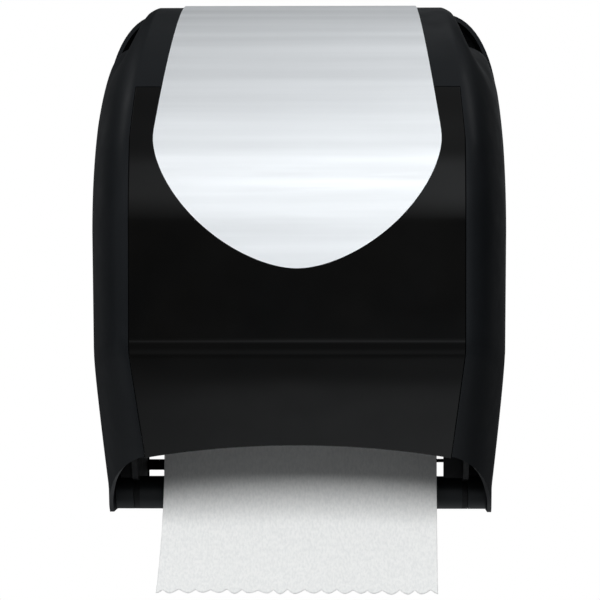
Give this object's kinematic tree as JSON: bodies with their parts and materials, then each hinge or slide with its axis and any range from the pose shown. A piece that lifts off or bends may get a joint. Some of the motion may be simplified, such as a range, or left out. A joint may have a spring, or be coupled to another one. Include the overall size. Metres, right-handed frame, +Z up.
{
  "type": "automatic roll towel dispenser",
  "caption": "Wall roll towel dispenser: hinged rounded cover with smoked pane and steel shield, powered feed rollers, towel roll on arms, towel hanging from the slot below.",
  "frame": {"origin": "middle of the back plate's lower edge, on the wall plane", "axes": "+X to the viewer's right facing the front, +Y into the wall, +Z up"},
  "size_m": [0.294, 0.2333, 0.4262],
  "materials": {
    "satin_black": "satin moulded",
    "smoked_pane": "polished",
    "brushed_steel": "brushed across",
    "black_plastic": "fine moulded grain",
    "plain_steel": "ground",
    "tyre_rubber": "matt",
    "pinch_rubber": "matt",
    "towel_paper": "embossed",
    "core_card": "spiral wound",
    "white_plastic": "smooth",
    "gear_brass": "machined",
    "motor_can": "plated",
    "cell_case": "satin",
    "board_green": "solder mask",
    "lens_dark": "polished",
    "button_blue": "polished",
    "switch_grey": "smooth"
  },
  "bodies": {
    "chassis": {"back_plate": "satin_black", "side_plate_left": "black_plastic", "side_plate_right": "black_plastic", "lower_bar": "satin_black", "hinge_pins": "plain_steel", "rear_guide": "black_plastic", "front_guide": "black_plastic", "tear_blade": "plain_steel", "roller_bushes": "white_plastic", "pinch_bushes": "white_plastic", "left_arm": "black_plastic", "left_hub": "black_plastic", "arm_bracket": "black_plastic", "arm_pivot_pin": "plain_steel", "gear_motor": "motor_can", "idler_stud": "plain_steel", "gear_guard": "black_plastic", "guard_screws": "plain_steel", "chassis_screws": "plain_steel", "battery_box": "black_plastic", "battery_lid": "black_plastic", "battery_cells": "cell_case", "battery_contacts": "plain_steel", "control_panel": "black_plastic", "control_board": "board_green", "sensor_lens": "lens_dark", "lock_keeper": "plain_steel", "towel_sheet": "towel_paper"},
    "cover": {"cover_frame": "satin_black", "cover_window": "smoked_pane", "steel_panel": "brushed_steel", "hinge_knuckles": "satin_black", "lock_body": "satin_black"},
    "lock": {"lock_cylinder": "plain_steel", "lock_cam": "plain_steel"},
    "roll": {"towel_roll": "towel_paper", "roll_core": "core_card"},
    "swing_arm": {"right_arm": "black_plastic", "right_hub": "black_plastic"},
    "drive_roller": {"drive_shaft": "plain_steel", "drive_tyres": "tyre_rubber", "roller_gear": "white_plastic"},
    "pinch_roller": {"pinch_shaft": "plain_steel", "pinch_tyres": "pinch_rubber"},
    "idler": {"idler_gear": "white_plastic"},
    "motor_output": {"motor_pinion": "gear_brass"},
    "button": {"feed_button": "button_blue"},
    "switch": {"length_switch": "switch_grey"}
  },
  "joints": [
    {"name": "cover_open", "type": "hinge", "parent": "chassis", "child": "cover", "pos_m": [0, -0.075, 0.013], "axis": [1, 0, 0], "range_deg": [0, 100]},
    {"name": "lock_turn", "type": "hinge", "parent": "cover", "child": "lock", "pos_m": [0, -0.052, 0.352], "axis": [0, 0, -1], "range_deg": [0, 90]},
    {"name": "roll_spin", "type": "hinge", "parent": "chassis", "child": "roll", "pos_m": [0, -0.114, 0.233], "axis": [1, 0, 0], "continuous": true},
    {"name": "arm_swing", "type": "hinge", "parent": "chassis", "child": "swing_arm", "pos_m": [0.106, -0.114, 0.12], "axis": [0, 1, 0], "range_deg": [0, 6.5], "stiffness_Nm_per_rad": 6},
    {"name": "drive_spin", "type": "hinge", "parent": "chassis", "child": "drive_roller", "pos_m": [0, -0.084, 0.082], "axis": [1, 0, 0], "continuous": true},
    {"name": "pinch_spin", "type": "hinge", "parent": "chassis", "child": "pinch_roller", "pos_m": [0, -0.1092, 0.082], "axis": [1, 0, 0], "continuous": true},
    {"name": "idler_spin", "type": "hinge", "parent": "chassis", "child": "idler", "pos_m": [0.126, -0.0488, 0.082], "axis": [1, 0, 0], "continuous": true},
    {"name": "pinion_spin", "type": "hinge", "parent": "chassis", "child": "motor_output", "pos_m": [0.126, -0.0261, 0.082], "axis": [1, 0, 0], "continuous": true},
    {"name": "feed_press", "type": "slide", "parent": "chassis", "child": "button", "axis": [0, 1, 0], "range_m": [0, 0.0025], "stiffness_N_per_m": 400},
    {"name": "length_select", "type": "slide", "parent": "chassis", "child": "switch", "axis": [1, 0, 0], "range_m": [-0.004, 0.004]}
  ],
  "couplings": [
    {"joint": "drive_spin", "follows": "roll_spin", "ratio": 6.5},
    {"joint": "pinch_spin", "follows": "roll_spin", "ratio": -9.1},
    {"joint": "idler_spin", "follows": "roll_spin", "ratio": -8.6667},
    {"joint": "pinion_spin", "follows": "roll_spin", "ratio": 17.333}
  ]
}
